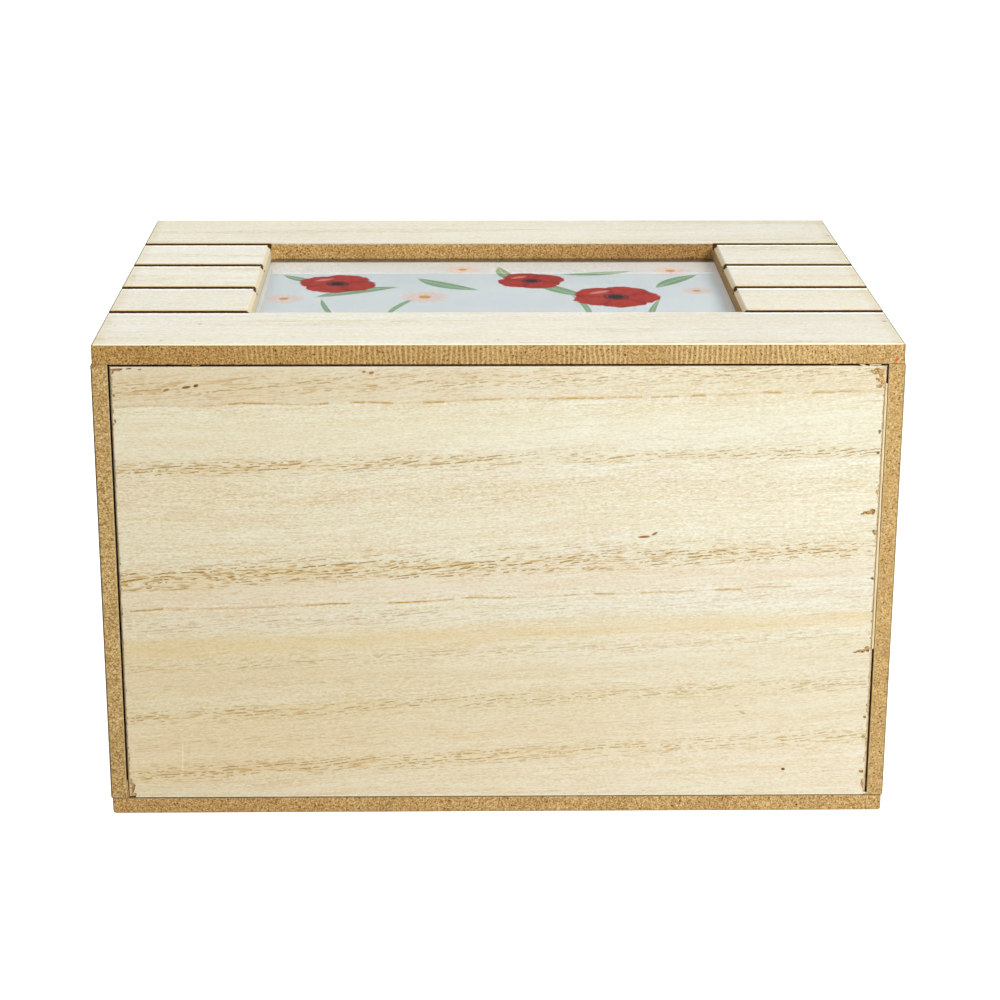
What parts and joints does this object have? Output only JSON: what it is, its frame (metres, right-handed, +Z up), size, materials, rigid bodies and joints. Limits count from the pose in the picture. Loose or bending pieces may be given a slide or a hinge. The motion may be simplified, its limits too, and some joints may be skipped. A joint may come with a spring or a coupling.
{
  "type": "photo storage box",
  "caption": "Wooden storage box with a picture window in its slatted top and one flush drawer that slides out to the front.",
  "frame": {"origin": "middle of the underside, on the surface that the box stands on", "axes": "+X to the right along the front, +Y from the front to the back, +Z up"},
  "size_m": [0.2316, 0.17, 0.145],
  "materials": {
    "top_veneer": "raw, sanded pale veneer on fibreboard, no varnish",
    "case_veneer": "raw, sanded pale veneer on fibreboard, raw brown edges",
    "front_veneer": "raw, sanded veneer with golden brown grain along X",
    "drawer_board": "raw veneered fibreboard",
    "hardboard": "smooth brown hardboard",
    "clear_pane": "clear, polished",
    "photo_paper": "satin printed paper",
    "pin_steel": "dull steel wire",
    "screw_steel": "zinc plated",
    "button_brass": "brass plated, satin"
  },
  "bodies": {
    "case": {"top_board": "top_veneer", "bottom_board": "case_veneer", "left_side": "case_veneer", "right_side": "case_veneer", "back_board": "case_veneer", "top_pins": "pin_steel", "bottom_pins": "pin_steel", "back_pins": "pin_steel", "window_pane": "clear_pane", "photo_print": "photo_paper", "frame_backing": "hardboard", "turn_button_screws": "screw_steel"},
    "drawer": {"drawer_front": "front_veneer", "drawer_left_wall": "drawer_board", "drawer_right_wall": "drawer_board", "drawer_rear_wall": "drawer_board", "drawer_floor": "hardboard", "drawer_pins": "pin_steel"},
    "front_left_button": {"turn_button_front_left": "button_brass"},
    "front_right_button": {"turn_button_front_right": "button_brass"},
    "rear_left_button": {"turn_button_rear_left": "button_brass"},
    "rear_right_button": {"turn_button_rear_right": "button_brass"}
  },
  "joints": [
    {"name": "drawer_slide", "type": "slide", "parent": "case", "child": "drawer", "axis": [0, -1, 0], "range_m": [0, 0.13]},
    {"name": "front_left_button_pivot", "type": "hinge", "parent": "case", "child": "front_left_button", "pos_m": [-0.08905, -0.031, 0.1355], "axis": [0, 0, 1], "continuous": true},
    {"name": "front_right_button_pivot", "type": "hinge", "parent": "case", "child": "front_right_button", "pos_m": [0.08905, -0.031, 0.1355], "axis": [0, 0, 1], "continuous": true},
    {"name": "rear_left_button_pivot", "type": "hinge", "parent": "case", "child": "rear_left_button", "pos_m": [-0.08905, 0.031, 0.1355], "axis": [0, 0, 1], "continuous": true},
    {"name": "rear_right_button_pivot", "type": "hinge", "parent": "case", "child": "rear_right_button", "pos_m": [0.08905, 0.031, 0.1355], "axis": [0, 0, 1], "continuous": true}
  ]
}
